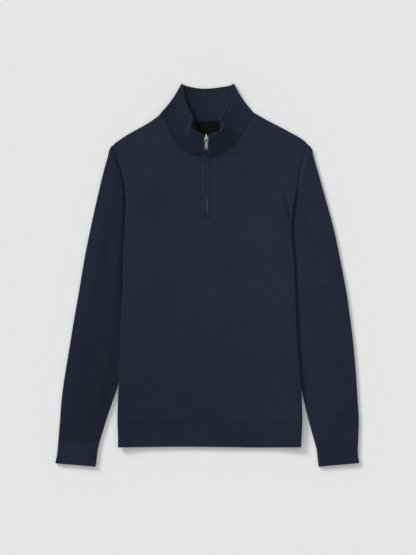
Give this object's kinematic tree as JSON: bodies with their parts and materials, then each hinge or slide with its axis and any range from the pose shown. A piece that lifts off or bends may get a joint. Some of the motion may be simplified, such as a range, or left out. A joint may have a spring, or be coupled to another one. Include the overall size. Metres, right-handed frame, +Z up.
{
  "type": "quarter zip sweater",
  "caption": "Long-sleeved fine-knit sweater with a zipped stand collar, laid flat on its back with the collar slumped open.",
  "frame": {"origin": "middle of the garment's footprint, on the surface it lies on", "axes": "+Y towards the collar, +X towards the viewer's right, +Z up out of the surface"},
  "size_m": [0.622, 0.785, 0.0235],
  "materials": {
    "knit": "matte fine jersey",
    "rib": "matte fine rib",
    "label": "woven satin",
    "metal": "polished nickel"
  },
  "bodies": {
    "sweater": {"front_panel": "knit", "back_panel": "knit", "sleeve_left": "knit", "sleeve_right": "knit", "cuff_left": "rib", "cuff_right": "rib", "hem_band_front": "rib", "hem_band_back": "rib", "collar": "rib", "zip_strip_left": "rib", "zip_strip_right": "rib", "neck_label": "label", "zip_teeth": "metal", "zip_slider": "metal"},
    "pull": {"pull_tab": "metal"}
  },
  "joints": [
    {"name": "pull_swing", "type": "hinge", "parent": "sweater", "child": "pull", "pos_m": [-0.0018, 0.27781, 0.02094], "axis": [-1, 0, 0], "range_deg": [0, 165]}
  ]
}
